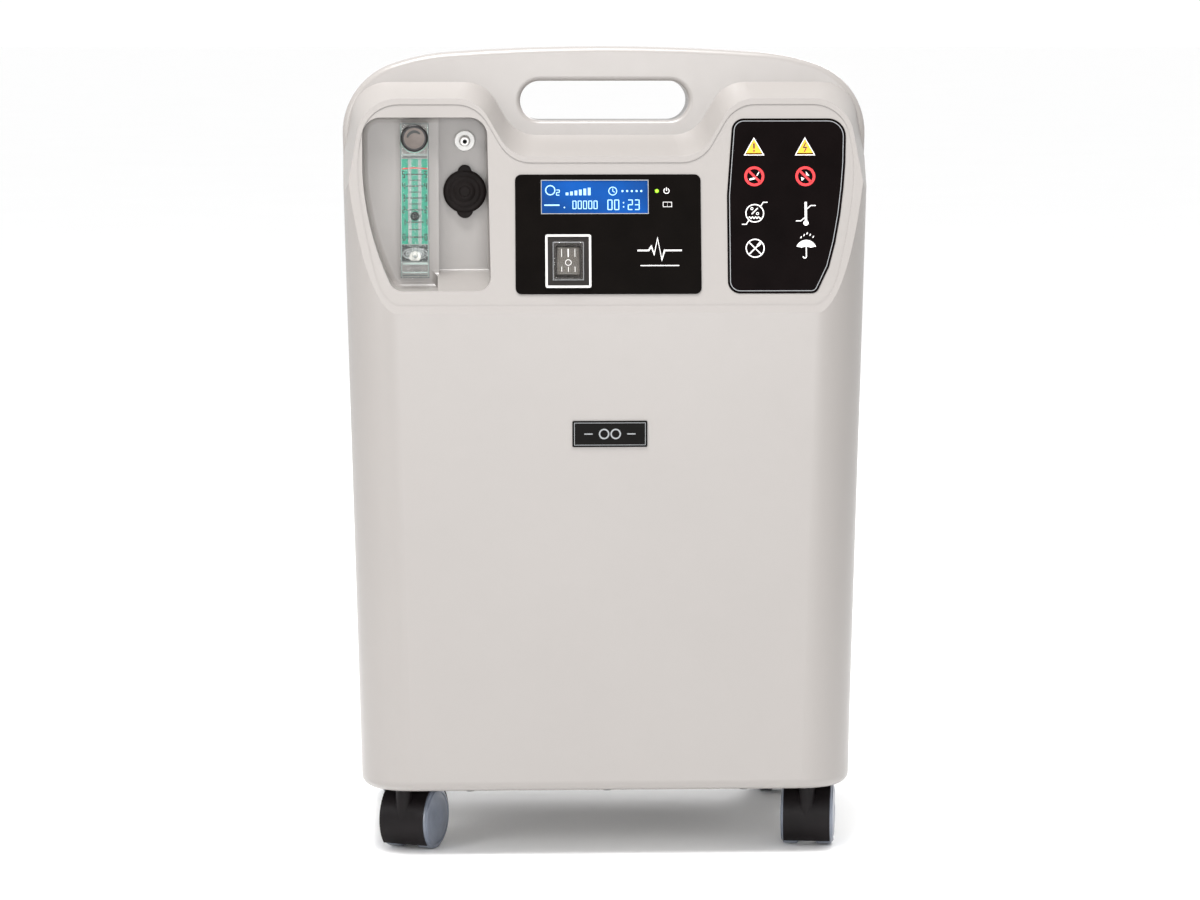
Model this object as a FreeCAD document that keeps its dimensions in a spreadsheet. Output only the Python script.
import FreeCAD, Part
import math
import os
import Sketcher

# Oxygen concentrator: a moulded cabinet on four twin-wheel casters, with a compressor,
# two sieve beds and a product tank inside, and a flowmeter, an outlet and a panel in its head.
# Origin: on the floor under the middle of the cabinet. +X to the viewer's right, -Y front, +Z up.
# Millimetres throughout.

V = FreeCAD.Vector
doc = FreeCAD.newDocument("OxygenConcentrator")

# ---------------------------------------------------------------------------
# Driving dimensions: alias, value, meaning
# ---------------------------------------------------------------------------
DIMENSIONS = [
    ("case_front", -140, "front face of the cabinet along Y"),
    ("case_back", 140, "back face of the cabinet along Y"),
    ("case_bottom", 50, "underside of the cabinet above the floor"),
    ("half_bottom", 180, "half width of the cabinet at its underside"),
    ("side_draft", 1.4, "outward lean of the sides in degrees"),
    ("corner_radius", 37, "radius of the four upright corners"),
    ("bottom_radius", 8, "radius round the bottom edge"),
    ("wall", 3, "wall thickness of the mouldings"),
    ("seam_y", -62, "parting line between the front and the rear shell"),
    ("seam_gap", 0.4, "gap at the parting line"),
    ("arch_top", 590, "highest point of the handle arch"),
    ("arch_radius_top", 1585, "radius of the arch in its middle"),
    ("arch_radius_shoulder", 165, "radius of the arch at its shoulders"),
    ("arch_radius_corner", 52.8, "radius where the arch turns into the side"),
    ("arch_angle_top", 4.1, "half angle of the middle arc in degrees"),
    ("arch_angle_shoulder", 19, "angle where the shoulder arc ends in degrees"),
    ("fin_front", -85, "front face of the handle fin"),
    ("fin_back", -40, "back face of the handle fin"),
    ("fin_round", 4.5, "rounding of the fin's edges"),
    ("slot_half", 61.5, "half length of the handle slot"),
    ("slot_low", 536.5, "lower edge of the handle slot"),
    ("slot_high", 565.2, "upper edge of the handle slot"),
    ("slot_round", 3.5, "rounding of the slot's lips"),
    ("deck", 518, "top of the cabinet behind the fin"),
    ("deck_round", 9, "rounding of the deck's edges"),
    ("head_low", 405, "height of the crease below the head"),
    ("head_tilt", 12, "lean of the head plane in degrees"),
    ("rim_low", 399.5, "height where the head's rim leaves the front face"),
    ("rim_step", 0.6, "depth of the head plane below its rim"),
    ("head_half", 151, "half width of the crease's straight part"),
    ("head_mid", 104.3, "head outline above the crease, middle part"),
    ("head_shoulder", 146.9, "head outline above the crease, shoulders"),
    ("bend_radius", 26, "radius of the two bends between middle and shoulder"),
    ("bend_angle", 60, "slope between those bends in degrees"),
    ("bend_start", 54, "half length of the middle part"),
    ("rim_width", 2.5, "width of the rim over the head outline"),
    ("fin_mid", 526, "foot of the fin in the middle"),
    ("fin_shoulder", 564.5, "foot of the fin at the shoulders"),
    ("bay_left", -176, "left end of the flowmeter bay"),
    ("bay_step", -121, "step between the channel and the pocket of the bay"),
    ("bay_right", -83.8, "right end of the flowmeter bay"),
    ("bay_low", 415.5, "bottom of the flowmeter bay"),
    ("bay_high", 539.4, "top of the flowmeter bay"),
    ("channel_back", -94, "back wall of the channel along Y"),
    ("pocket_back", -84, "back wall of the pocket along Y"),
    ("bay_round", 4.5, "rounding at the back of the bay"),
    ("meter_x", -138.4, "centre of the flowmeter"),
    ("meter_width", 21, "width of the flowmeter block"),
    ("meter_low", 423.3, "bottom of the flowmeter block"),
    ("meter_length", 112, "height of the flowmeter block"),
    ("meter_depth", 15.2, "depth of the flowmeter block"),
    ("scale_thick", 0.4, "thickness of the scale film"),
    ("scale_low", 447, "bottom of the scale"),
    ("scale_length", 62, "height of the scale"),
    ("tube_radius", 5, "radius of the metering bore"),
    ("tube_low", 446, "bottom of the metering bore"),
    ("tube_length", 64, "length of the metering bore"),
    ("ball_radius", 3.4, "radius of the float ball"),
    ("ball_rest", 467.8, "height of the float ball at about 1.5 l/min"),
    ("knob_z", 524.7, "height of the flow knob"),
    ("knob_radius", 10, "radius of the flow knob"),
    ("knob_length", 9, "length of the flow knob"),
    ("valve_radius", 2.5, "radius of the needle valve"),
    ("valve_fit", 0.05, "radial running fit of the needle valve"),
    ("valve_length", 12, "length of the needle valve in the block"),
    ("inlet_z", 438, "height of the flowmeter's lower fitting"),
    ("outlet_x", -102, "centre of the oxygen outlet and the filter cap"),
    ("outlet_z", 521.8, "height of the oxygen outlet"),
    ("outlet_flange", 7.75, "radius of the outlet's flange"),
    ("nozzle_radius", 3.2, "radius of the outlet nozzle"),
    ("nozzle_length", 20, "length of the outlet nozzle"),
    ("nozzle_bore", 1.65, "radius of the bore in the nozzle"),
    ("cap_z", 485, "height of the filter cap"),
    ("cap_radius", 15.8, "radius of the filter cap"),
    ("cap_thick", 5, "thickness of the filter cap"),
    ("cap_span", 39.5, "height of the cap over its two finger tabs"),
    ("tab_width", 12.4, "width of a finger tab"),
    ("filter_radius", 12.5, "radius of the bacteria filter"),
    ("filter_length", 38, "length of the bacteria filter"),
    ("housing_radius", 16, "outer radius of the filter housing"),
    ("panel_x", 1, "centre of the control panel"),
    ("panel_width", 134, "width of the control panel"),
    ("panel_low", 8.4, "bottom of the panel above the crease, along the head"),
    ("panel_length", 87.1, "height of the control panel"),
    ("panel_thick", 0.9, "thickness of the control panel"),
    ("panel_round", 4.5, "corner radius of the control panel"),
    ("lcd_x", -8.5, "centre of the display window"),
    ("lcd_low", 66.6, "bottom of the display window along the head"),
    ("lcd_width", 77.8, "width of the display window"),
    ("lcd_length", 25, "height of the display window"),
    ("lcd_depth", 9, "depth of the display module"),
    ("light_x", 36.4, "centre of the status light"),
    ("light_up", 83.4, "status light along the head"),
    ("light_radius", 1.5, "radius of the status light"),
    ("switch_x", -28, "centre of the power switch"),
    ("switch_low", 12.8, "bottom of the switch frame along the head"),
    ("switch_width", 33, "width of the switch frame"),
    ("switch_length", 38.7, "height of the switch frame"),
    ("boot_width", 22.5, "width of the clear boot"),
    ("boot_length", 28, "height of the clear boot"),
    ("boot_high", 5, "how far the boot stands out of the switch"),
    ("rocker_width", 16.4, "width of the rocker"),
    ("rocker_length", 21.4, "height of the rocker"),
    ("rocker_rest", -8, "lean of the rocker with its top pressed in, in degrees"),
    ("badge_x", 1.7, "centre of the badge"),
    ("badge_low", 303, "bottom of the badge"),
    ("badge_width", 54.2, "width of the badge"),
    ("badge_length", 19, "height of the badge"),
    ("badge_thick", 0.8, "thickness of the badge"),
    ("tray_under", 60, "underside of the base tray's plate"),
    ("tray_thick", 4, "thickness of the base tray's plate"),
    ("tray_half_x", 174, "half width of the base tray"),
    ("tray_half_y", 134, "half depth of the base tray"),
    ("lip_half_x", 168, "half width of the opening in the cabinet's floor"),
    ("lip_half_y", 128, "half depth of the opening in the cabinet's floor"),
    ("caster_x", 148.7, "caster stems either side of the middle"),
    ("caster_front", -108, "front caster stems along Y"),
    ("caster_rear", 95, "rear caster stems along Y"),
    ("wheel_radius", 23, "radius of a caster wheel"),
    ("wheel_width", 12.5, "width of a caster wheel"),
    ("wheel_inside", 6.5, "distance from the caster's middle to a wheel"),
    ("hood_radius", 24.9, "outer radius of the caster hood"),
    ("hood_half", 17.2, "half width of the caster hood"),
    ("trail", 19, "distance from the stem to the axle"),
    ("stem_radius", 4, "radius of a caster stem"),
    ("stem_top", 84, "top of the caster stems"),
    ("axle_radius", 2.5, "radius of a caster axle"),
    ("grille_z", 300, "centre of the intake grille"),
    ("grille_width", 170, "width of the intake grille"),
    ("grille_length", 190, "height of the intake grille"),
    ("grille_thick", 7, "thickness of the intake grille"),
    ("foam_thick", 10, "thickness of the cabinet filter"),
    ("inlet_x", 95, "centre of the mains inlet"),
    ("mains_z", 120, "height of the mains inlet and the breaker"),
    ("breaker_x", 140, "centre of the circuit breaker"),
    ("box_x", 40, "centre of the compressor and its sound box"),
    ("box_y", -12, "centre of the sound box along Y"),
    ("box_wide", 200, "width of the sound box"),
    ("box_deep", 180, "depth of the sound box"),
    ("box_high", 186, "height of the sound box"),
    ("motor_z", 148, "height of the compressor shaft"),
    ("motor_radius", 42, "radius of the compressor motor"),
    ("bed_x", -128, "centre of the sieve beds along X"),
    ("bed_radius", 33, "radius of a sieve bed"),
    ("bed_high", 300, "height of a sieve bed"),
    ("tank_x", -106, "centre of the product tank along X"),
    ("tank_y", 92, "centre of the product tank along Y"),
    ("tank_radius", 29, "radius of the product tank"),
    ("tank_high", 250, "height of the product tank"),
]

sheet = doc.addObject("Spreadsheet::Sheet", "sizes")
for row, (alias, value, meaning) in enumerate(DIMENSIONS, start=1):
    sheet.set(f"A{row}", meaning)
    sheet.set(f"B{row}", str(value))
    sheet.setAlias(f"B{row}", alias)
doc.recompute()


def size(alias):
    """A driving dimension read from the sheet."""
    return float(sheet.get(alias))


def lean():
    """Tangent of the head plane's lean."""
    return math.tan(math.radians(size("head_tilt")))


# ---------------------------------------------------------------------------
# Frames
# ---------------------------------------------------------------------------
def head_y(height):
    """Y of the head plane, its recessed face, at a height."""
    rim = size("case_front") + (height - size("rim_low")) * lean()
    return rim + size("rim_step") / math.cos(math.radians(size("head_tilt")))


def head_place(x=0.0, out=0.0, up=0.0):
    """Frame on the head plane: X along it, Z up along it, -Y out of it."""
    turn = FreeCAD.Rotation(V(1, 0, 0), -size("head_tilt"))
    origin = V(0, head_y(size("head_low")), size("head_low"))
    return FreeCAD.Placement(origin, turn).multiply(FreeCAD.Placement(V(x, -out, up), FreeCAD.Rotation()))


# ---------------------------------------------------------------------------
# Builders for the common kinds of piece
# ---------------------------------------------------------------------------
parts = []


def keep(thing, label):
    """Name an object as one of the sub-parts."""
    thing.Label = label
    parts.append(thing)
    return thing


def bind(thing, **formulas):
    """Bind properties of an object to formulas over the sheet."""
    for prop, formula in formulas.items():
        thing.setExpression(prop.replace("__", "."), formula)
    return thing


def put(thing, x="0", y="0", z="0", turn=None):
    """Place an object by formulas, with an optional fixed rotation."""
    if turn is not None:
        thing.Placement = FreeCAD.Placement(V(0, 0, 0), turn)
    for axis, formula in zip("xyz", (x, y, z)):
        thing.setExpression(f"Placement.Base.{axis}", formula)
    return thing


ALONG_X = FreeCAD.Rotation(V(0, 1, 0), 90)
ALONG_MINUS_Y = FreeCAD.Rotation(V(1, 0, 0), 90)
ALONG_Y = FreeCAD.Rotation(V(1, 0, 0), -90)
UPRIGHT = FreeCAD.Rotation()


def block(name, length, width, height, x, y, z):
    """Box given by its sides and the middle of its underside."""
    thing = doc.addObject("Part::Box", name)
    bind(thing, Length=length, Width=width, Height=height)
    return put(thing, f"{x} - ({length}) / 2", f"{y} - ({width}) / 2", z)


def rod(name, radius, length, x, y, z, turn=UPRIGHT):
    """Cylinder that starts at a point and runs the way of its turn."""
    thing = doc.addObject("Part::Cylinder", name)
    bind(thing, Radius=radius, Height=length)
    return put(thing, x, y, z, turn)


def cut(name, base, tool):
    thing = doc.addObject("Part::Cut", name)
    thing.Base = base
    thing.Tool = tool
    return thing


def fuse(name, *pieces):
    thing = doc.addObject("Part::MultiFuse", name)
    thing.Shapes = list(pieces)
    return thing


def group(name, *pieces):
    """Separate solids that share one node."""
    thing = doc.addObject("Part::Compound", name)
    thing.Links = list(pieces)
    return thing


def free_shape(label, shape):
    """Sub-part whose shape is worked out in code from the sheet."""
    thing = doc.addObject("Part::Feature", label)
    thing.Shape = shape
    return keep(thing, label)


def new_body(label, place=None):
    body = doc.addObject("PartDesign::Body", label)
    if place is not None:
        body.Placement = place
    return keep(body, label)


def outline_sketch(body, name, role, corners):
    """Closed outline through corners whose two coordinates are formulas."""
    plane = [item for item in body.Origin.OriginFeatures if item.Role == role][0]
    sketch = body.newObject("Sketcher::SketchObject", name)
    sketch.AttachmentSupport = [(plane, "")]
    sketch.MapMode = "FlatFace"
    spots = [V(value(first), value(second), 0) for first, second in corners]
    for index, spot in enumerate(spots):
        sketch.addGeometry(Part.LineSegment(spot, spots[(index + 1) % len(spots)]), False)
    for index in range(len(spots)):
        following = (index + 1) % len(spots)
        sketch.addConstraint(Sketcher.Constraint("Coincident", index, 2, following, 1))
    for index, (first, second) in enumerate(corners):
        spot = spots[index]
        for kind, formula, where in (("DistanceX", first, spot.x), ("DistanceY", second, spot.y)):
            number = sketch.addConstraint(Sketcher.Constraint(kind, -1, 1, index, 1, where))
            sketch.setExpression(f"Constraints[{number}]", formula)
    return sketch


def circle_sketch(body, name, role, spots, radius):
    """Circles of one radius at spots given by formulas."""
    plane = [item for item in body.Origin.OriginFeatures if item.Role == role][0]
    sketch = body.newObject("Sketcher::SketchObject", name)
    sketch.AttachmentSupport = [(plane, "")]
    sketch.MapMode = "FlatFace"
    for index, (first, second) in enumerate(spots):
        centre = V(value(first), value(second), 0)
        sketch.addGeometry(Part.Circle(centre, V(0, 0, 1), value(radius)), False)
        for kind, formula, where in (("DistanceX", first, centre.x), ("DistanceY", second, centre.y)):
            number = sketch.addConstraint(Sketcher.Constraint(kind, -1, 1, index, 3, where))
            sketch.setExpression(f"Constraints[{number}]", formula)
        number = sketch.addConstraint(Sketcher.Constraint("Radius", index, value(radius)))
        sketch.setExpression(f"Constraints[{number}]", radius)
    return sketch


def value(formula):
    """Number that a formula over the sheet stands for now."""
    probe = doc.getObject("probe") or doc.addObject("App::FeaturePython", "probe")
    return float(probe.evalExpression(str(formula)))


def rectangle(left, low, right, high):
    return [(left, low), (right, low), (right, high), (left, high)]


def pad(body, name, role, corners, length, both_ways=False, reverse=False):
    sketch = outline_sketch(body, name + "_outline", role, corners)
    feature = body.newObject("PartDesign::Pad", name)
    feature.Profile = sketch
    feature.Midplane = both_ways
    feature.Reversed = reverse
    feature.setExpression("Length", length)
    return feature


def pocket(body, name, sketch, length, reverse=True):
    feature = body.newObject("PartDesign::Pocket", name)
    feature.Profile = sketch
    feature.Reversed = reverse
    feature.setExpression("Length", length)
    return feature


def spin(body, name, role, corners, axis="V_Axis"):
    """Turned piece: a half section spun about an axis of its sketch."""
    sketch = outline_sketch(body, name + "_section", role, corners)
    feature = body.newObject("PartDesign::Revolution", name)
    feature.Profile = sketch
    feature.ReferenceAxis = (sketch, [axis])
    feature.Angle = 360
    return feature


def round_edges(body, name, base, radius, chosen):
    """Round the edges of a feature that a test picks."""
    doc.recompute()
    names = [f"Edge{number}" for number, edge in enumerate(base.Shape.Edges, start=1) if chosen(edge)]
    feature = body.newObject("PartDesign::Fillet", name)
    feature.Base = (base, names)
    feature.setExpression("Radius", radius)
    return feature


def runs_along(edge, axis, tolerance=1e-6):
    """True for a straight edge that is parallel to an axis."""
    if len(edge.Vertexes) != 2:
        return False
    start, end = (vertex.Point for vertex in edge.Vertexes)
    way = end.sub(start)
    return way.Length > tolerance and way.cross(axis).Length < tolerance * way.Length


def plate(label, place, width, low, length, thick, corner_round):
    """Flat rounded rectangle that stands out of a plane, towards -Y."""
    body = new_body(label, place)
    corners = rectangle(f"-({width}) / 2", low, f"({width}) / 2", f"{low} + {length}")
    slab = pad(body, label + "_slab", "XZ_Plane", corners, thick)
    round_edges(body, label + "_corners", slab, corner_round, lambda edge: runs_along(edge, V(0, 1, 0)))
    return body


# ---------------------------------------------------------------------------
# Cabinet: outline, handle fin, head
# ---------------------------------------------------------------------------
def taper():
    return math.radians(size("side_draft"))


def case_outline(inset, y, low):
    """Front view of the cabinet: leaning sides under an arch of five tangent arcs."""
    first = math.radians(size("arch_angle_top"))
    second = math.radians(size("arch_angle_shoulder"))
    last = math.pi / 2 + taper()
    big = size("arch_radius_top")
    middle = size("arch_radius_shoulder")
    small = size("arch_radius_corner")

    def on_arc(centre, radius, angle):
        return V(centre.x + radius * math.sin(angle), y, centre.z + radius * math.cos(angle))

    centre_top = V(0, y, size("arch_top") - big)
    centre_shoulder = on_arc(centre_top, big - middle, first)
    centre_corner = on_arc(centre_shoulder, middle - small, second)
    big, middle, small = big - inset, middle - inset, small - inset
    side_high = on_arc(centre_corner, small, last)
    side_low = V(side_high.x - (side_high.z - low) * math.tan(taper()), y, low)

    def arc(centre, radius, start, end):
        return [on_arc(centre, radius, angle) for angle in (start, (start + end) / 2, end)]

    def mirrored(spot):
        return V(-spot.x, spot.y, spot.z)

    corner = arc(centre_corner, small, last, second)
    shoulder = arc(centre_shoulder, middle, second, first)
    edges = [Part.LineSegment(side_low, side_high)]
    edges += [Part.Arc(*corner), Part.Arc(*shoulder)]
    edges.append(Part.Arc(*arc(centre_top, big, first, -first)))
    edges += [Part.Arc(*[mirrored(spot) for spot in reversed(shoulder)])]
    edges += [Part.Arc(*[mirrored(spot) for spot in reversed(corner)])]
    edges.append(Part.LineSegment(mirrored(side_high), mirrored(side_low)))
    edges.append(Part.LineSegment(mirrored(side_low), side_low))
    return Part.Wire([edge.toShape() for edge in edges])


def all_at(edge, axis, where, tolerance=1e-4):
    """True for an edge whose ends lie on a plane square to an axis."""
    return all(abs(getattr(vertex.Point, axis) - where) < tolerance for vertex in edge.Vertexes)


def case_block(inset, low):
    """Whole cabinet as a block with rounded corners, moved in by an inset."""
    front = size("case_front") + inset
    back = size("case_back") - inset
    solid = Part.Face(case_outline(inset, front, low)).extrude(V(0, back - front, 0))
    rims = [edge for edge in solid.Edges
            if (all_at(edge, "y", front) or all_at(edge, "y", back)) and not all_at(edge, "z", low)]
    solid = solid.makeFillet(size("corner_radius") - inset, rims)
    if inset == 0:
        underside = [edge for edge in solid.Edges if all_at(edge, "z", low)]
        solid = solid.makeFillet(size("bottom_radius"), underside)
    return solid


CORNER_X = 150


def head_bends(flat, mid, shoulder):
    """Right half of the step up from the middle to the shoulder: two arcs and the slope between them."""
    angle = math.radians(size("bend_angle"))
    radius = size("bend_radius")
    half = angle / 2
    straight = (shoulder - mid - 2 * radius * (1 - math.cos(angle))) / math.sin(angle)
    lower = V(flat + radius * math.sin(angle), 0, mid + radius * (1 - math.cos(angle)))
    upper = V(lower.x + straight * math.cos(angle), 0, lower.z + straight * math.sin(angle))
    end = V(upper.x + radius * math.sin(angle), 0, shoulder)
    lower_mid = V(flat + radius * math.sin(half), 0, mid + radius * (1 - math.cos(half)))
    upper_mid = V(end.x - radius * math.sin(half), 0, shoulder - radius * (1 - math.cos(half)))
    return lower_mid, lower, upper, upper_mid, end


def corner_point(centre_x, radius, shoulder, degrees):
    """Point of the round corner where the shoulder turns down into the side."""
    turn = math.radians(degrees)
    return V(centre_x + radius * math.cos(turn), 0, shoulder - radius * (1 - math.sin(turn)))


def head_curve(flat, mid, shoulder, corner_x, corner_radius, foot, to_space):
    """Upper outline of the head, left to right: foot, corner, shoulder, bend, middle and back down."""
    lower_mid, lower, upper, upper_mid, end = head_bends(flat, mid, shoulder)

    def on_corner(degrees):
        return corner_point(corner_x, corner_radius, shoulder, degrees)

    right = [
        ("line", V(flat, 0, mid)),
        ("arc", lower_mid, lower),
        ("line", upper),
        ("arc", upper_mid, end),
        ("line", on_corner(90)),
        ("arc", on_corner(50), on_corner(10)),
        ("line", foot),
    ]
    edges = []
    for side in (-1, 1):
        here = V(0, 0, mid)
        for step in right:
            spots = [to_space(V(side * spot.x, 0, spot.z)) for spot in (here,) + step[1:]]
            curve = Part.LineSegment(*spots) if step[0] == "line" else Part.Arc(*spots)
            edges.append(curve.toShape())
            here = step[-1]
    outside = [V(foot.x, 0, foot.z), V(300, 0, foot.z), V(300, 0, 800), V(-300, 0, 800),
               V(-300, 0, foot.z), V(-foot.x, 0, foot.z)]
    for start, end in zip(outside, outside[1:]):
        edges.append(Part.LineSegment(to_space(start), to_space(end)).toShape())
    return Part.Wire(Part.__sortEdges__(edges))


def shoulder_cutter(inset):
    """Space in front of the fin and above the head, bounded by a sloping bevel."""
    place = head_place()
    rim = size("rim_width")
    start = size("rim_step") + 2
    front = head_curve(
        size("bend_start"), size("head_mid") + rim - inset, size("head_shoulder") + rim - inset,
        CORNER_X, 27 + rim, V(192 - inset, 0, 52), lambda spot: place.multVec(V(spot.x, -start, spot.z)))
    fin = size("fin_front") + inset
    back = head_curve(
        size("bend_start") - 4, size("fin_mid") - inset, size("fin_shoulder") - inset,
        158, 27, V(197 - inset, 0, 472), lambda spot: V(spot.x, fin, spot.z))
    return Part.makeLoft([front, back], True, True)


def fin_solid(inset):
    """Upright handle fin, the full width of the cabinet."""
    front = size("fin_front") + inset
    back = size("fin_back") - inset
    solid = Part.Face(case_outline(inset, front, 480)).extrude(V(0, back - front, 0))
    if inset == 0:
        rims = [edge for edge in solid.Edges
                if (all_at(edge, "y", front) or all_at(edge, "y", back)) and not all_at(edge, "z", 480)]
        solid = solid.makeFillet(size("fin_round"), rims)
    return solid


def slot_tool(grow):
    """Handle slot with full round ends and rounded lips, or the boss round it."""
    low = size("slot_low") - grow
    high = size("slot_high") + grow
    radius = (high - low) / 2
    straight = size("slot_half") + grow - radius
    middle = (low + high) / 2
    front = size("fin_front") - 5
    depth = size("fin_back") - size("fin_front") + 10
    corners = [V(-straight, front, low), V(straight, front, low),
               V(straight, front, high), V(-straight, front, high)]
    edges = [
        Part.LineSegment(corners[0], corners[1]),
        Part.Arc(corners[1], V(straight + radius, front, middle), corners[2]),
        Part.LineSegment(corners[2], corners[3]),
        Part.Arc(corners[3], V(-straight - radius, front, middle), corners[0]),
    ]
    wire = Part.Wire([edge.toShape() for edge in edges])
    return Part.Face(wire).extrude(V(0, depth, 0))


def case_solid(inset, low):
    """Cabinet with its head, fin and deck, moved in by an inset."""
    solid = case_block(inset, low)
    deck = size("deck") - inset
    over_deck = Part.makeBox(700, 400, 200, V(-350, size("fin_front") + inset, deck))
    solid = solid.cut(over_deck)
    if inset == 0:
        rims = [edge for edge in solid.Edges
                if all_at(edge, "z", deck) and not all_at(edge, "y", size("fin_front"))]
        solid = solid.makeFillet(size("deck_round"), rims)
    before_head = Part.makeBox(700, 200, 500, V(-350, -200 + inset - size("rim_step"), -60))
    before_head.Placement = head_place()
    solid = solid.cut(before_head)
    solid = solid.cut(shoulder_cutter(inset))
    return solid.fuse(fin_solid(inset)).removeSplitter()


def corner_spot(centre, reach):
    """Point of a rounded corner halfway round, from its centre and its reach along X and Z."""
    half = math.sqrt(0.5)
    return V(centre[0] + reach[0] * half, centre[1], centre[2] + reach[1] * half)


def bay_outline(y):
    """Front view of the flowmeter bay: its left side sweeps in towards the foot."""
    left, right = size("bay_left"), size("bay_right")
    low, high = size("bay_low"), size("bay_high")
    round_top, round_foot = 13, 10
    top_left = V(left + round_top, y, high)
    top_right = V(right - 2 - round_top, y, high)
    side_right = V(right - 2, y, high - round_top)
    foot_right = V(right, y, low + round_foot)
    floor_right = V(right - round_foot, y, low)
    floor_left = V(left + 29, y, low)
    foot_left = V(left + 19.6, y, low + 6)
    waist = V(left + 6.6, y, low + 42)
    side_left = V(left, y, high - 39)
    high_left = V(left, y, high - round_top)
    edges = [
        Part.LineSegment(top_left, top_right),
        Part.Arc(top_right, corner_spot((top_right.x, y, side_right.z), (round_top, round_top)), side_right),
        Part.LineSegment(side_right, foot_right),
        Part.Arc(foot_right, corner_spot((floor_right.x, y, foot_right.z), (round_foot, -round_foot)),
                 floor_right),
        Part.LineSegment(floor_right, floor_left),
        Part.Arc(floor_left, V(left + 23.4, y, low + 1.7), foot_left),
        Part.Arc(foot_left, waist, side_left),
        Part.LineSegment(side_left, high_left),
        Part.Arc(high_left, corner_spot((top_left.x, y, high_left.z), (-round_top, round_top)), top_left),
    ]
    return Part.Wire([edge.toShape() for edge in edges])


def bay_tool(grow):
    """Space of the flowmeter bay, or with a grow the boss that walls it in."""
    front = size("case_front") - 10
    outline = bay_outline(front)
    if grow:
        outline = outline.makeOffset2D(grow)
    deep = size("pocket_back") + grow
    solid = Part.Face(outline).extrude(V(0, deep - front, 0))
    step = size("bay_step") - grow
    channel = size("channel_back") + grow
    solid = solid.cut(Part.makeBox(100, 40, 200, V(step - 100, channel, size("bay_low") - 20)))
    if grow == 0:
        low = size("bay_low") - 1
        ramp = [V(step - 1, size("case_front") + 2, low), V(step - 1, deep + 1, low),
                V(step - 1, deep + 1, low + 13)]
        wedge = Part.Face(Part.makePolygon(ramp + ramp[:1])).extrude(V(60, 0, 0))
        solid = solid.cut(wedge)
        rims = [edge for edge in solid.Edges if all_at(edge, "y", channel) and not all_at(edge, "x", step)]
        solid = solid.makeFillet(size("bay_round"), rims)
        rims = [edge for edge in solid.Edges if all_at(edge, "y", deep) and not all_at(edge, "x", step)]
        solid = solid.makeFillet(size("bay_round") / 2, rims)
    return solid


def head_recess():
    """Shallow sunk face of the head, inside its rim."""
    half = size("head_half")
    shoulder = size("head_shoulder")
    mid = size("head_mid")
    flat = size("bend_start")
    lower_mid, lower, upper, upper_mid, end = head_bends(flat, mid, shoulder)

    def on_corner(degrees):
        return corner_point(CORNER_X, 27, shoulder, degrees)

    # The side of the crease is the corner of the cabinet cut by the leaning plane: an ellipse.
    rise = 178
    side = [V(half + 32 * math.sin(math.radians(turn)), 0, rise * (1 - math.cos(math.radians(turn))))
            for turn in (0, 16, 32, 48, 62)]
    side += [V(178.6, 0, 113.5), on_corner(10)]
    edges = []
    for mirror in (-1, 1):
        def at(spot):
            return V(mirror * spot.x, 0, spot.z)
        curve = Part.BSplineCurve()
        curve.interpolate([at(spot) for spot in side])
        edges += [
            Part.LineSegment(V(0, 0, 0), at(side[0])).toShape(),
            curve.toShape(),
            Part.Arc(at(on_corner(10)), at(on_corner(50)), at(on_corner(90))).toShape(),
            Part.LineSegment(at(on_corner(90)), at(end)).toShape(),
            Part.Arc(at(end), at(upper_mid), at(upper)).toShape(),
            Part.LineSegment(at(upper), at(lower)).toShape(),
            Part.Arc(at(lower), at(lower_mid), at(V(flat, 0, mid))).toShape(),
            Part.LineSegment(at(V(flat, 0, mid)), V(0, 0, mid)).toShape(),
        ]
    solid = Part.Face(Part.Wire(Part.__sortEdges__(edges))).extrude(V(0, -10, 0))
    solid.Placement = head_place()
    return solid


def rounded_box(half_x, half_y, low, high, radius, middle=V(0, 0, 0)):
    """Box with rounded upright corners."""
    solid = Part.makeBox(2 * half_x, 2 * half_y, high - low, V(middle.x - half_x, middle.y - half_y, low))
    uprights = [edge for edge in solid.Edges if runs_along(edge, V(0, 0, 1))]
    return solid.makeFillet(radius, uprights)


def head_box(x, width, low, length, near, far):
    """Box in the head's frame, between two distances behind the head plane."""
    solid = Part.makeBox(width, far - near, length, V(x - width / 2, near, low))
    solid.Placement = head_place()
    return solid


def hole_along_y(x, z, radius, front, back):
    return Part.makeCylinder(radius, back - front, V(x, front, z), V(0, 1, 0))


MAINS_HALF_X = 48
MAINS_HALF_Z = 22
FOAM_MARGIN = 12
INTAKE_HALF = 50


def wide_box(half_x, low, high, near, far, x=0.0):
    """Box on the back of the cabinet, from its middle and its two ends along Y."""
    return Part.makeBox(2 * half_x, far - near, high - low, V(x - half_x, near, low))


# height of the flowmeter's upper fitting, screw places, depth of the recess round the mains inlet,
# depth behind the door for its filter, and the gap round the door
UPPER_FITTING = 516
SCREW_SPOTS = [(x, side * 132.4) for side in (-1, 1) for x in (-100, 0, 100)]
BACK_RECESS = 3.2
DOOR_POCKET = 13
GAP = 0.3


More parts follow.
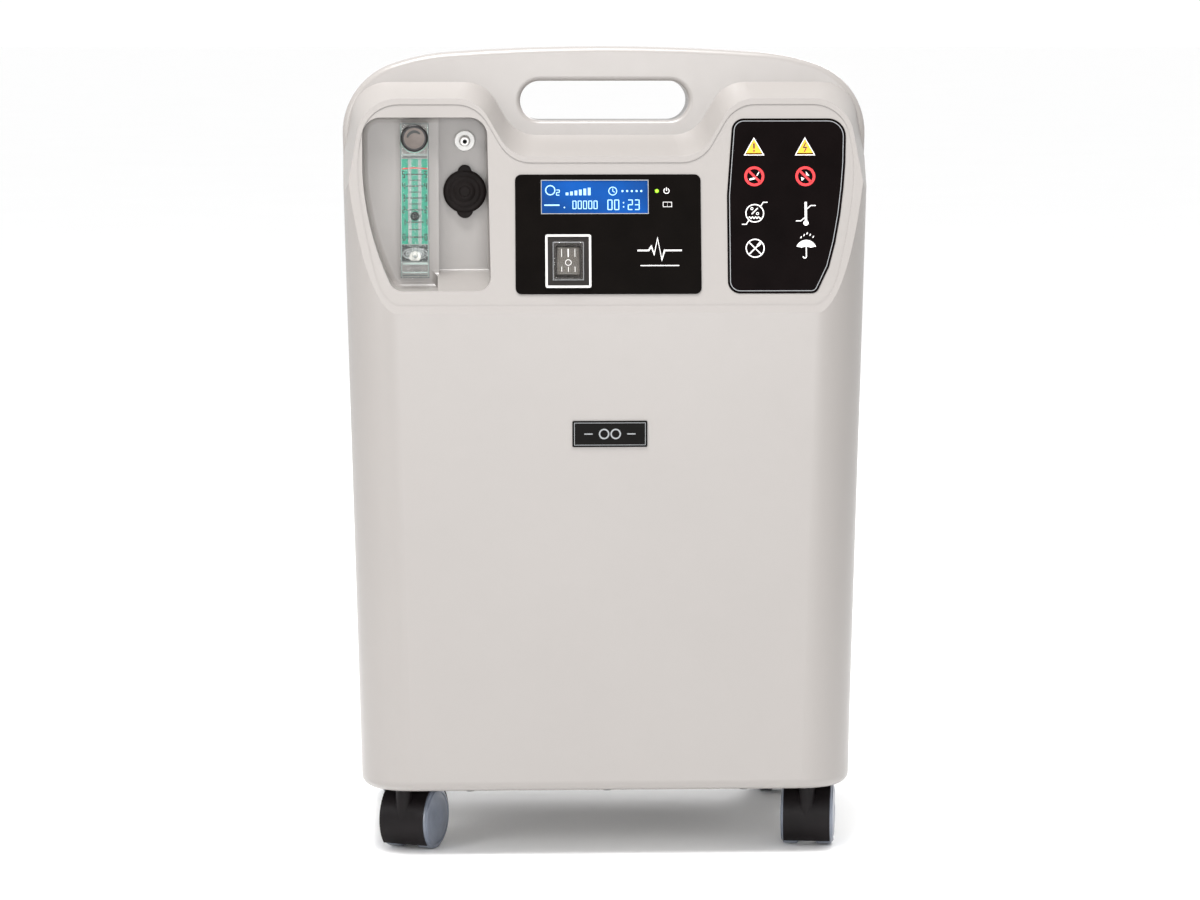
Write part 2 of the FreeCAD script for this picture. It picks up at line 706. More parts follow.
def case_cavity():
    """Room inside the cabinet, less the bosses that wall in the slot, the bay and the back's recesses."""
    wall = size("wall")
    back = size("case_back")
    room = case_solid(wall, size("case_bottom") + wall)
    room = room.cut(bay_tool(wall))
    room = room.cut(slot_tool(wall))
    half, long_half = size("grille_width") / 2, size("grille_length") / 2
    door_low, door_high = size("grille_z") - long_half, size("grille_z") + long_half
    deep = size("grille_thick") + DOOR_POCKET
    room = room.cut(wide_box(half + wall, door_low - wall, door_high + wall, back - deep - wall, back))
    mains = size("mains_z")
    middle = (size("inlet_x") + size("breaker_x")) / 2
    low, high = mains - MAINS_HALF_Z - wall, mains + MAINS_HALF_Z + wall
    return room.cut(wide_box(MAINS_HALF_X + wall, low, high, back - BACK_RECESS - wall, back, middle))


def back_tools():
    """What is cut out of the back: the door's recess, the filter's pocket, the mains recess."""
    back = size("case_back")
    half, long_half = size("grille_width") / 2, size("grille_length") / 2
    middle, thick = size("grille_z"), size("grille_thick")
    low, high = middle - long_half - GAP, middle + long_half + GAP
    door = wide_box(half + GAP, low, high, back - thick - GAP, back + 5)
    foam_half, foam_long = half - FOAM_MARGIN, long_half - FOAM_MARGIN
    pocket_floor = back - thick - DOOR_POCKET
    foam = wide_box(foam_half, middle - foam_long, middle + foam_long, pocket_floor, back)
    intake = wide_box(INTAKE_HALF, middle - INTAKE_HALF, middle + INTAKE_HALF, pocket_floor - 5, back)
    mains = size("mains_z")
    centre = (size("inlet_x") + size("breaker_x")) / 2
    low, high = mains - MAINS_HALF_Z, mains + MAINS_HALF_Z
    recess = wide_box(MAINS_HALF_X, low, high, back - BACK_RECESS, back + 5, centre)
    socket = wide_box(14.2, mains - 10.5, mains + 10.5, back - 20, back, size("inlet_x"))
    breaker = hole_along_y(size("breaker_x"), mains, 6.9, back - 20, back)
    return [door, foam, intake, recess, socket, breaker]


CUT = (-3, 10)
FITTING_HOLE = 4.3


def front_tools():
    """What is cut out of the front: the bay, the head's face, and the windows in it."""
    channel, deep = size("channel_back"), size("pocket_back")
    switch_up = size("switch_low") + size("switch_length") / 2
    return [
        bay_tool(0),
        head_recess(),
        head_box(size("lcd_x"), size("lcd_width") + 1, size("lcd_low") - 0.5, size("lcd_length") + 1, *CUT),
        head_box(size("switch_x"), 23, switch_up - 14.7, 29.4, *CUT),
        head_box(size("light_x"), 4, size("light_up") - 2, 4, *CUT),
        hole_along_y(size("meter_x"), size("inlet_z"), FITTING_HOLE, channel - 1, channel + 5),
        hole_along_y(size("meter_x"), UPPER_FITTING, FITTING_HOLE, channel - 1, channel + 5),
        hole_along_y(size("outlet_x"), size("outlet_z"), 5.2, deep - 1, deep + 5),
        hole_along_y(size("outlet_x"), size("cap_z"), 14.2, deep - 1, deep + 5),
    ]


def make_shells():
    """Front and rear moulding: one cabinet, hollowed and parted at the seam."""
    outer = case_solid(0, size("case_bottom"))
    slot = slot_tool(0)
    outer = outer.cut(slot)
    lips = [edge for edge in outer.Edges
            if (all_at(edge, "y", size("fin_front")) or all_at(edge, "y", size("fin_back")))
            and edge.BoundBox.ZMin > size("slot_low") - 1 and edge.BoundBox.ZMax < size("slot_high") + 1
            and edge.BoundBox.XMax < size("slot_half") + 1 and edge.BoundBox.XMin > -size("slot_half") - 1]
    outer = outer.makeFillet(size("slot_round"), lips)
    floor_hole = rounded_box(size("lip_half_x"), size("lip_half_y"), 30, 54, 25)
    hollow = outer.cut(case_cavity()).cut(floor_hole)
    for x, y in SCREW_SPOTS:
        hollow = hollow.cut(Part.makeCylinder(1.7, 10, V(x, y, size("case_bottom") - 5)))
        hollow = hollow.cut(Part.makeCone(3.4, 1.7, 1.7, V(x, y, size("case_bottom"))))
    seam = size("seam_y")
    half_gap = size("seam_gap") / 2
    front_side = Part.makeBox(600, 300, 900, V(-300, seam - half_gap - 300, -50))
    rear_side = Part.makeBox(600, 300, 900, V(-300, seam + half_gap, -50))
    front = hollow.common(front_side)
    for tool in front_tools():
        front = front.cut(tool)
    rear = hollow.common(rear_side)
    for tool in back_tools():
        rear = rear.cut(tool)
    return front, rear


front_shape, rear_shape = make_shells()
free_shape("front_shell", front_shape)
free_shape("rear_shell", rear_shape)


# ---------------------------------------------------------------------------
# Base tray and its screws
# ---------------------------------------------------------------------------
CASTERS = {
    "front_left": (-1, "caster_front", 23),
    "front_right": (1, "caster_front", 8),
    "rear_left": (-1, "caster_rear", 0),
    "rear_right": (1, "caster_rear", 0),
}


def base_tray():
    """Shallow pan that carries the casters, with slots that let the warm air out."""
    under, thick = size("tray_under"), size("tray_thick")
    half_x, half_y = size("tray_half_x"), size("tray_half_y")
    wall = size("wall")
    low = size("case_bottom") + wall
    pan = rounded_box(half_x, half_y, low, under + thick, 30)
    pan = pan.cut(rounded_box(half_x - wall, half_y - wall, low - 1, under, 27))
    for x, y in SCREW_SPOTS:
        pan = pan.fuse(Part.makeCylinder(3.4, under - low + 1, V(x, y - math.copysign(2, y), low)))
    for side, row, turn in CASTERS.values():
        spot = V(side * size("caster_x"), size(row), 0)
        pan = pan.fuse(Part.makeCylinder(10, size("stem_top") - 51, V(spot.x, spot.y, 51)))
        pan = pan.cut(Part.makeCylinder(size("stem_radius"), 60, V(spot.x, spot.y, 45)))
    for x, y in SCREW_SPOTS:
        pan = pan.cut(Part.makeCylinder(1.6, 9, V(x, y, low - 1)))
    for index in range(9):
        pan = pan.cut(Part.makeBox(70, 5, 20, V(15, -40 + index * 10, under - 5)))
    return pan.removeSplitter()


free_shape("base_tray", base_tray())


def base_screw(x, y):
    """Countersunk screw, driven up from below until its head is flush."""
    bottom = size("case_bottom")
    shank = Part.makeCylinder(1.5, 9, V(x, y, bottom))
    head = Part.makeCone(3.1, 1.5, 1.6, V(x, y, bottom))
    recess = Part.makeBox(3.6, 0.9, 1, V(x - 1.8, y - 0.45, bottom - 0.2))
    cross = Part.makeBox(0.9, 3.6, 1, V(x - 0.45, y - 1.8, bottom - 0.2))
    return shank.fuse(head).cut(recess).cut(cross)


free_shape("base_screws", Part.makeCompound([base_screw(x, y) for x, y in SCREW_SPOTS]))

# ---------------------------------------------------------------------------
# Control panel, display, light, power switch, label and badge
# ---------------------------------------------------------------------------
panel = plate("control_panel", head_place(size("panel_x")), "sizes.panel_width", "sizes.panel_low",
              "sizes.panel_length", "sizes.panel_thick", "sizes.panel_round")
window = outline_sketch(panel, "display_window", "XZ_Plane", rectangle(
    "sizes.lcd_x - sizes.panel_x - sizes.lcd_width / 2", "sizes.lcd_low",
    "sizes.lcd_x - sizes.panel_x + sizes.lcd_width / 2", "sizes.lcd_low + sizes.lcd_length"))
pocket(panel, "display_cut", window, "sizes.panel_thick")
SWITCH_UP = "(sizes.switch_low + sizes.switch_length / 2)"
opening = outline_sketch(panel, "switch_opening", "XZ_Plane", rectangle(
    "sizes.switch_x - sizes.panel_x - 11.3", f"{SWITCH_UP} - 14.5",
    "sizes.switch_x - sizes.panel_x + 11.3", f"{SWITCH_UP} + 14.5"))
pocket(panel, "switch_cut", opening, "sizes.panel_thick")
lamp = circle_sketch(panel, "light_opening", "XZ_Plane",
                     [("sizes.light_x - sizes.panel_x", "sizes.light_up")], "sizes.light_radius + 0.1")
pocket(panel, "light_cut", lamp, "sizes.panel_thick")

lcd = new_body("lcd_module", head_place(size("lcd_x")))
pad(lcd, "glass", "XZ_Plane", rectangle(
    "-sizes.lcd_width / 2 + 0.3", "sizes.lcd_low + 0.3",
    "sizes.lcd_width / 2 - 0.3", "sizes.lcd_low + sizes.lcd_length - 0.3"), "0.4")
back_sketch = outline_sketch(lcd, "frame_outline", "XZ_Plane", rectangle(
    "-sizes.lcd_width / 2 + 0.3", "sizes.lcd_low + 0.3",
    "sizes.lcd_width / 2 - 0.3", "sizes.lcd_low + sizes.lcd_length - 0.3"))
lcd_neck = lcd.newObject("PartDesign::Pad", "neck")
lcd_neck.Profile = back_sketch
lcd_neck.Reversed = True
lcd_neck.Length = 3
board_sketch = outline_sketch(lcd, "board_outline", "XZ_Plane", rectangle("-46", "61", "41.5", "97"))
board_sketch.AttachmentOffset = FreeCAD.Placement(V(0, 0, -3), FreeCAD.Rotation())
lcd_frame = lcd.newObject("PartDesign::Pad", "frame")
lcd_frame.Profile = board_sketch
lcd_frame.Reversed = True
lcd_frame.setExpression("Length", "sizes.lcd_depth")

light = new_body("status_light", head_place(size("light_x"), 0, size("light_up")))
spin(light, "lens", "XY_Plane", [
    ("0", "-1.3"), ("0.9", "-1.1"), ("sizes.light_radius", "-0.4"), ("sizes.light_radius", "4"),
    ("sizes.light_radius + 0.4", "4"), ("sizes.light_radius + 0.4", "5"), ("0", "5")])

frame = new_body("switch_frame", head_place(size("switch_x"), size("panel_thick")))
ring = pad(frame, "ring", "XZ_Plane", rectangle(
    "-sizes.switch_width / 2", "sizes.switch_low",
    "sizes.switch_width / 2", "sizes.switch_low + sizes.switch_length"), "2")
round_edges(frame, "ring_corners", ring, "1.5", lambda edge: runs_along(edge, V(0, 1, 0)))
inside = outline_sketch(frame, "ring_inside", "XZ_Plane", rectangle(
    "-sizes.switch_width / 2 + 1.6", "sizes.switch_low + 1.6",
    "sizes.switch_width / 2 - 1.6", "sizes.switch_low + sizes.switch_length - 1.6"))
pocket(frame, "ring_opening", inside, "2")

switch = new_body("switch_body", head_place(size("switch_x"), size("panel_thick")))
pad(switch, "bezel", "XZ_Plane", rectangle(
    "-sizes.switch_width / 2 + 1.8", "sizes.switch_low + 1.8",
    "sizes.switch_width / 2 - 1.8", "sizes.switch_low + sizes.switch_length - 1.8"), "1.4")
case_sketch = outline_sketch(switch, "case_outline", "XZ_Plane", rectangle(
    "-10.9", f"{SWITCH_UP} - 14.1", "10.9", f"{SWITCH_UP} + 14.1"))
switch_case = switch.newObject("PartDesign::Pad", "switch_case")
switch_case.Profile = case_sketch
switch_case.Reversed = True
switch_case.Length = 23
well_sketch = outline_sketch(switch, "well_outline", "XZ_Plane", rectangle(
    "-sizes.rocker_width / 2 - 0.4", f"{SWITCH_UP} - sizes.rocker_length / 2 - 0.6",
    "sizes.rocker_width / 2 + 0.4", f"{SWITCH_UP} + sizes.rocker_length / 2 + 0.6"))
well_sketch.AttachmentOffset = FreeCAD.Placement(V(0, 0, 3), FreeCAD.Rotation())
pocket(switch, "rocker_well", well_sketch, "17", reverse=False)

rocker_place = head_place(size("switch_x"), -1.2, size("switch_low") + size("switch_length") / 2)
rocker_lean = FreeCAD.Rotation(V(1, 0, 0), size("rocker_rest"))
rocker_place = rocker_place.multiply(FreeCAD.Placement(V(0, 0, 0), rocker_lean))
rocker = new_body("switch_rocker", rocker_place)
HALF = "sizes.rocker_length / 2"
pad(rocker, "rocker_section", "YZ_Plane", [
    ("-3.1", "0"), ("-4.6", f"{HALF} - 0.5"), ("1.2", f"{HALF} - 1"), ("5", "4"),
    ("5", "-4"), ("1.2", f"-({HALF} - 1)"), ("-4.6", f"-({HALF} - 0.5)")],
    "sizes.rocker_width", both_ways=True)

boot = new_body("switch_boot", head_place(size("switch_x"), size("panel_thick") + 1.4))
dome = pad(boot, "dome", "XZ_Plane", rectangle(
    "-sizes.boot_width / 2", f"{SWITCH_UP} - sizes.boot_length / 2",
    "sizes.boot_width / 2", f"{SWITCH_UP} + sizes.boot_length / 2"), "sizes.boot_high")
round_edges(boot, "dome_edges", dome, "1.8", lambda edge: not all_at(edge, "y", 0))
boot_room = outline_sketch(boot, "boot_room", "XZ_Plane", rectangle(
    "-sizes.boot_width / 2 + 0.9", f"{SWITCH_UP} - sizes.boot_length / 2 + 0.9",
    "sizes.boot_width / 2 - 0.9", f"{SWITCH_UP} + sizes.boot_length / 2 - 0.9"))
pocket(boot, "boot_hollow", boot_room, "sizes.boot_high - 0.9")

# corners of the label on the head plane, each with the radius that rounds it, if any
LABEL_CORNERS = [(87, 8.6, 9), (87, 80, 0), (91.6, 136.4, 9), (174.3, 136.4, 13), (173.2, 104, 0),
                 (171.6, 86, 0), (169, 66, 0), (165.2, 46, 0), (160.4, 28, 0), (151, 8.6, 6)]
label = new_body("safety_label", head_place())
label_feature = pad(label, "label_sheet", "XZ_Plane", [(str(x), str(up)) for x, up, _ in LABEL_CORNERS], "0.4")
for number, (x, up, corner_radius) in enumerate(LABEL_CORNERS):
    if corner_radius:
        label_feature = round_edges(
            label, f"label_corner_{number}", label_feature, str(corner_radius),
            lambda edge: all_at(edge, "x", x) and all_at(edge, "z", up))

plate("model_badge", FreeCAD.Placement(V(size("badge_x"), size("case_front"), 0), FreeCAD.Rotation()),
      "sizes.badge_width", "sizes.badge_low", "sizes.badge_length", "sizes.badge_thick", "1")

# ---------------------------------------------------------------------------
# Flowmeter
# ---------------------------------------------------------------------------
METER_BACK = "(sizes.channel_back - sizes.scale_thick)"
METER_FRONT = f"({METER_BACK} - sizes.meter_depth)"
METER_MIDDLE = f"({METER_BACK} - sizes.meter_depth / 2)"

meter_block = block("meter_block", "sizes.meter_width", "sizes.meter_depth", "sizes.meter_length",
                    "sizes.meter_x", METER_MIDDLE, "sizes.meter_low")
drillings = [
    rod("metering_bore", "sizes.tube_radius", "sizes.tube_length",
        "sizes.meter_x", METER_MIDDLE, "sizes.tube_low"),
    rod("riser", "2", "sizes.knob_z - sizes.inlet_z", "sizes.meter_x", METER_MIDDLE, "sizes.inlet_z"),
    rod("valve_bore", "sizes.valve_radius + sizes.valve_fit", "sizes.valve_length",
        "sizes.meter_x", METER_FRONT, "sizes.knob_z", ALONG_Y),
    rod("lower_port", "4.1", "3.5", "sizes.meter_x", METER_BACK, "sizes.inlet_z", ALONG_MINUS_Y),
    rod("lower_duct", "1.5", "8", "sizes.meter_x", METER_BACK, "sizes.inlet_z", ALONG_MINUS_Y),
    rod("upper_port", "4.1", "3.5", "sizes.meter_x", METER_BACK, str(UPPER_FITTING), ALONG_MINUS_Y),
    rod("upper_duct", "1.5", "8", "sizes.meter_x", METER_BACK, str(UPPER_FITTING), ALONG_MINUS_Y),
]
keep(cut("flowmeter_body", meter_block, fuse("meter_drillings", *drillings)), "flowmeter_body")

plate("flowmeter_scale", FreeCAD.Placement(V(size("meter_x"), size("channel_back"), 0), FreeCAD.Rotation()),
      "sizes.meter_width - 0.6", "sizes.scale_low", "sizes.scale_length", "sizes.scale_thick", "0.5")


def meter_fitting(name, height):
    """Threaded hose tail that holds the flowmeter and carries the gas behind the wall."""
    thread = rod(name + "_thread", "4", "7.5", "sizes.meter_x", f"{METER_BACK} - 3.2", height, ALONG_Y)
    tail = rod(name + "_tail", "2.6", "18", "sizes.meter_x", f"{METER_BACK} + 4", height, ALONG_Y)
    collar = rod(name + "_collar", "6", "3", "sizes.meter_x", "sizes.channel_back + sizes.wall",
                 height, ALONG_Y)
    bore = rod(name + "_bore", "1.3", "40", "sizes.meter_x", f"{METER_BACK} - 5", height, ALONG_Y)
    return cut(name, fuse(name + "_solid", thread, tail, collar), bore)


keep(group("flowmeter_fittings", meter_fitting("lower_fitting", "sizes.inlet_z"),
           meter_fitting("upper_fitting", str(UPPER_FITTING))), "flowmeter_fittings")

ball = doc.addObject("Part::Sphere", "float_ball")
bind(ball, Radius="sizes.ball_radius")
keep(put(ball, "sizes.meter_x", METER_MIDDLE, "sizes.ball_rest"), "float_ball")

meter_front = value(METER_FRONT)
knob = new_body("flow_knob", FreeCAD.Placement(
    V(size("meter_x"), meter_front - 0.4, size("knob_z")), FreeCAD.Rotation()))
spin(knob, "knob_section", "XY_Plane", [
    ("sizes.valve_radius", "0"), ("sizes.knob_radius - 0.8", "0"), ("sizes.knob_radius", "-0.8"),
    ("sizes.knob_radius", "-sizes.knob_length + 1"), ("sizes.knob_radius - 1", "-sizes.knob_length"),
    ("sizes.knob_radius - 1.6", "-sizes.knob_length"), ("sizes.knob_radius - 2", "-sizes.knob_length + 0.5"),
    ("0", "-sizes.knob_length + 0.5"), ("0", "-5"), ("sizes.valve_radius", "-5")])

needle = new_body("needle_valve", FreeCAD.Placement(
    V(size("meter_x"), meter_front, size("knob_z")), FreeCAD.Rotation()))
spin(needle, "needle_section", "XY_Plane", [
    ("0", "-5.4"), ("sizes.valve_radius", "-5.4"), ("sizes.valve_radius", "sizes.valve_length - 4"),
    ("0.5", "sizes.valve_length - 0.8"), ("0", "sizes.valve_length - 0.8")])

# ---------------------------------------------------------------------------
# Oxygen outlet and bacteria filter
# ---------------------------------------------------------------------------
outlet = new_body("oxygen_outlet", FreeCAD.Placement(
    V(size("outlet_x"), size("pocket_back"), size("outlet_z")), FreeCAD.Rotation()))
spin(outlet, "outlet_section", "XY_Plane", [
    ("sizes.nozzle_bore", "20"), ("2.6", "20"), ("2.6", "11"), ("5", "11"), ("5", "0"),
    ("sizes.outlet_flange", "0"),
    ("sizes.outlet_flange", "-1.8"), ("sizes.outlet_flange - 0.7", "-2.5"), ("4.2", "-2.5"),
    ("sizes.nozzle_radius", "-5"), ("sizes.nozzle_radius", "-sizes.nozzle_length + 0.6"),
    ("sizes.nozzle_radius - 0.6", "-sizes.nozzle_length"), ("sizes.nozzle_bore", "-sizes.nozzle_length")])

HOUSING_DEPTH = 50
housing = new_body("filter_housing", FreeCAD.Placement(
    V(size("outlet_x"), size("pocket_back") + size("wall"), size("cap_z")), FreeCAD.Rotation()))
spin(housing, "housing_section", "XY_Plane", [
    ("sizes.filter_radius + 1.1", "0"), ("sizes.housing_radius", "0"),
    ("sizes.housing_radius", str(HOUSING_DEPTH)),
    ("4", str(HOUSING_DEPTH)), ("2.6", str(HOUSING_DEPTH + 10)), ("1.4", str(HOUSING_DEPTH + 10)),
    ("1.4", str(HOUSING_DEPTH - 3)), ("sizes.filter_radius + 1.1", str(HOUSING_DEPTH - 3))])

bacteria = new_body("bacteria_filter", FreeCAD.Placement(
    V(size("outlet_x"), size("pocket_back") + 8, size("cap_z")), FreeCAD.Rotation()))
spin(bacteria, "filter_section", "XY_Plane", [
    ("1.2", "-1"), ("3", "-1"), ("3", "2"), ("9.5", "2"), ("sizes.filter_radius", "5"),
    ("sizes.filter_radius", "sizes.filter_length - 4"), ("9.5", "sizes.filter_length - 1"),
    ("3", "sizes.filter_length - 1"), ("3", "sizes.filter_length + 1"), ("1.2", "sizes.filter_length + 1")])

cap = new_body("filter_cap", FreeCAD.Placement(
    V(size("outlet_x"), size("pocket_back") - 0.3, size("cap_z")), FreeCAD.Rotation()))
spin(cap, "cap_section", "XY_Plane", [
    ("0", "-sizes.cap_thick"), ("sizes.cap_radius - 1.4", "-sizes.cap_thick"),
    ("sizes.cap_radius", "-sizes.cap_thick + 1.3"), ("sizes.cap_radius", "0"), ("12.9", "0"), ("12.9", "6"),
    ("10.9", "6"), ("10.9", "-2"), ("0", "-2")])
pad(cap, "finger_tabs", "XZ_Plane", rectangle(
    "-sizes.tab_width / 2", "-sizes.cap_span / 2", "sizes.tab_width / 2", "sizes.cap_span / 2"), "4.2")

# ---------------------------------------------------------------------------
# Back: intake grille with its filter, mains inlet, circuit breaker
# ---------------------------------------------------------------------------
door_face = size("case_back") - size("grille_thick")
grille = new_body("intake_grille", FreeCAD.Placement(V(0, door_face, size("grille_z")), FreeCAD.Rotation()))
door = pad(grille, "door", "XZ_Plane", rectangle(
    "-sizes.grille_width / 2", "-sizes.grille_length / 2",
    "sizes.grille_width / 2", "sizes.grille_length / 2"), "sizes.grille_thick", reverse=True)
round_edges(grille, "door_edges", door, "2.5", lambda edge: all_at(edge, "y", size("grille_thick")))
SLOTS = 11
slot_sketch = outline_sketch(grille, "first_slot", "XZ_Plane", rectangle("-62", "-72.5", "62", "-67.5"))
slot_cut = pocket(grille, "slot", slot_sketch, "sizes.grille_thick", reverse=False)
doc.recompute()
louvres = grille.newObject("PartDesign::LinearPattern", "louvres")
louvres.Originals = [slot_cut]
louvres.Direction = (slot_sketch, ["V_Axis"])
louvres.Length = 140
louvres.Occurrences = SLOTS
grille.Tip = louvres

foam = new_body("cabinet_filter", FreeCAD.Placement(
    V(0, door_face - 1, size("grille_z")), FreeCAD.Rotation()))
pad(foam, "foam", "XZ_Plane", rectangle(
    "-sizes.grille_width / 2 + 12.5", "-sizes.grille_length / 2 + 12.5",
    "sizes.grille_width / 2 - 12.5", "sizes.grille_length / 2 - 12.5"), "sizes.foam_thick")

recess_floor = size("case_back") - BACK_RECESS
FLOOR = str(recess_floor)
inlet_solid = fuse(
    "inlet_solid",
    block("inlet_flange", "50", "2.6", "26", "sizes.inlet_x", f"{FLOOR} + 1.3", "sizes.mains_z - 13"),
    block("inlet_case", "27.6", "18", "20", "sizes.inlet_x", f"{FLOOR} - 9", "sizes.mains_z - 10"))
inlet_socket = block("inlet_socket", "24", "20", "16.5", "sizes.inlet_x", f"{FLOOR} - 3",
                     "sizes.mains_z - 8.25")
PIN_SPOTS = ((-7, -3), (7, -3), (0, 2))
pins = [block(f"inlet_pin_{index}", "4", "16", "2", f"sizes.inlet_x + {x}", f"{FLOOR} - 6",
              f"sizes.mains_z + {z}") for index, (x, z) in enumerate(PIN_SPOTS)]
keep(fuse("power_inlet", cut("inlet_shell", inlet_solid, inlet_socket), *pins), "power_inlet")

breaker = new_body("breaker_body", FreeCAD.Placement(
    V(size("breaker_x"), recess_floor, size("mains_z")), FreeCAD.Rotation()))
spin(breaker, "breaker_section", "XY_Plane", [
    ("4.3", "2"), ("9", "2"), ("9", "0"), ("6.5", "0"), ("6.5", "-22"), ("0", "-22"),
    ("0", "-14"), ("4.3", "-14")])

button = new_body("breaker_button", FreeCAD.Placement(
    V(size("breaker_x"), recess_floor, size("mains_z")), FreeCAD.Rotation()))
spin(button, "button_section", "XY_Plane", [
    ("0", "-9"), ("4", "-9"), ("4", "3.2"), ("3.4", "3.8"), ("0", "3.8")])

# ---------------------------------------------------------------------------
# Casters: one stem, hood, axle and pair of wheels at each corner
# ---------------------------------------------------------------------------
def caster_place(corner):
    side, row, turn = CASTERS[corner]
    return FreeCAD.Placement(V(side * size("caster_x"), size(row), 0), FreeCAD.Rotation(V(0, 0, 1), -turn))


def caster_stem(corner):
    side, row, turn = CASTERS[corner]
    return rod(corner + "_stem", "sizes.stem_radius", "sizes.stem_top - 30", f"{side} * sizes.caster_x",
               f"sizes.{row}", "30")


def caster_hood(corner):
    """Fender over both wheels, with the web between them that holds the stem and the axle."""
    name = corner + "_"
    drum = rod(name + "drum", "sizes.hood_radius", "2 * sizes.hood_half",
               "-sizes.hood_half", "sizes.trail", "sizes.wheel_radius", ALONG_X)
    room = "sizes.wheel_radius + 0.8"
    spaces = [
        rod(name + "room_right", room, "20", "sizes.wheel_inside - 0.6",
            "sizes.trail", "sizes.wheel_radius", ALONG_X),
        rod(name + "room_left", room, "20", "-sizes.wheel_inside + 0.6 - 20",
            "sizes.trail", "sizes.wheel_radius", ALONG_X),
        block(name + "floor_gap", "60", "80", "10", "0", "sizes.trail", "-5"),
        block(name + "rear_gap", "60", "40", "22", "0", "sizes.trail + 24", "0"),
    ]
    column = rod(name + "column", "sizes.wheel_inside - 0.6", "25.3", "0", "0", "25")
    solid = fuse(name + "hood_solid", cut(name + "fender", drum, fuse(name + "spaces", *spaces)), column)
    bores = fuse(
        name + "bores",
        rod(name + "stem_bore", "sizes.stem_radius + 0.05", "30", "0", "0", "28"),
        rod(name + "axle_bore", "sizes.axle_radius", "40", "-20",
            "sizes.trail", "sizes.wheel_radius", ALONG_X))
    hood = cut(name + "hood", solid, bores)
    hood.Placement = caster_place(corner)
    return keep(hood, name + "caster_hood")


def caster_axle(corner):
    """Plain pin through the web and both wheels."""
    axle = doc.addObject("Part::Cylinder", corner + "_axle")
    bind(axle, Radius="sizes.axle_radius", Height="2 * (sizes.wheel_inside + sizes.wheel_width - 2)")
    half = size("wheel_inside") + size("wheel_width") - 2
    axle.Placement = caster_place(corner).multiply(
        FreeCAD.Placement(V(-half, size("trail"), size("wheel_radius")), ALONG_X))
    return keep(axle, corner + "_axle")


def caster_wheel(corner, hand):
    """Wheel with a rounded tread and a domed outer disc that closes over the axle's end."""
    sign = -1 if hand == "left" else 1
    facing = FreeCAD.Rotation(V(0, 0, 1), 180 if hand == "left" else 0)
    spot = V(sign * size("wheel_inside"), size("trail"), size("wheel_radius"))
    label = f"{corner}_wheel_{hand}"
    wheel = new_body(label, caster_place(corner).multiply(FreeCAD.Placement(spot, facing)))
    edge = "sizes.wheel_radius"
    width = "sizes.wheel_width"
    spin(wheel, label + "_section", "XY_Plane", [
        ("0", "sizes.axle_radius + 0.05"), ("0", f"{edge} - 1.6"), ("0.5", f"{edge} - 0.5"), ("1.6", edge),
        (f"{width} - 2.4", edge), (f"{width} - 1.2", f"{edge} - 0.5"), (f"{width} - 0.6", f"{edge} - 1.6"),
        (f"{width} + 0.4", f"{edge} * 0.66"), (f"{width} + 1", f"{edge} * 0.33"), (f"{width} + 1.2", "0"),
        (f"{width} - 1", "0"), (f"{width} - 1", "sizes.axle_radius + 0.05")], axis="H_Axis")
    return wheel


keep(group("caster_stems", *[caster_stem(corner) for corner in CASTERS]), "caster_stems")
for corner in CASTERS:
    caster_hood(corner)
    caster_axle(corner)
    for hand in ("left", "right"):
        caster_wheel(corner, hand)

# ---------------------------------------------------------------------------
# Inside: sound box, compressor, cooling
# ---------------------------------------------------------------------------
TRAY_TOP = "(sizes.tray_under + sizes.tray_thick)"
BOX_TOP = f"({TRAY_TOP} + sizes.box_high)"
box_outer = block("box_outer", "sizes.box_wide", "sizes.box_deep", "sizes.box_high",
                  "sizes.box_x", "sizes.box_y", TRAY_TOP)
box_inner = block("box_inner", "sizes.box_wide - 8", "sizes.box_deep - 8", "sizes.box_high - 4",
                  "sizes.box_x", "sizes.box_y", TRAY_TOP)
box_vent = rod("box_vent", "50", "20", "sizes.box_x", "sizes.box_y", f"{BOX_TOP} - 10")
keep(cut("sound_box", box_outer, fuse("box_room", box_inner, box_vent)), "sound_box")

# distance of each crankcase from the motor's middle, and its length along the shaft
END = 68
CRANK = 26
crankcases = [block(f"crankcase_{side}", str(CRANK), "68", "88", f"sizes.box_x + {side * END}", "sizes.box_y",
                    "sizes.motor_z - 44") for side in (-1, 1)]
motor = rod("motor", "sizes.motor_radius", str(2 * END), f"sizes.box_x - {END}",
            "sizes.box_y", "sizes.motor_z", ALONG_X)
bed_plate = block("bed_plate", "150", "84", "9", "sizes.box_x", "sizes.box_y", "sizes.motor_z - 48")
compressor = fuse("compressor_solid", motor, bed_plate, *crankcases)
shaft_bore = rod("shaft_bore", "4.1", "12", f"sizes.box_x + {END + CRANK / 2 - 10}",
                 "sizes.box_y", "sizes.motor_z", ALONG_X)
keep(cut("compressor_body", compressor, shaft_bore), "compressor_body")

HEAD_LOW = "(sizes.motor_z + 44)"
head_parts = []
for side in (-1, 1):
    spot = (f"sizes.box_x + {side * END}", "sizes.box_y")
    barrel = rod(f"barrel_{side}", "20", "34", *spot, HEAD_LOW)
    fins = [rod(f"fin_{side}_{index}", "25", "2.5", *spot, f"{HEAD_LOW} + {5 + 6 * index}")
            for index in range(5)]
    head_parts.append(fuse(f"cylinder_head_{side}", barrel, *fins))
keep(group("cylinder_heads", *head_parts), "cylinder_heads")


def coil_spring(x, y, low, high, radius, wire, turns):
    path = Part.makeHelix((high - low - 2 * wire) / turns, high - low - 2 * wire, radius)
    ring = Part.Wire(Part.makeCircle(wire, V(radius, 0, 0), V(0, 1, 0)))
    spring = Part.Wire(path).makePipeShell([ring], True, True)
    spring.translate(V(x, y, low + wire))
    return spring


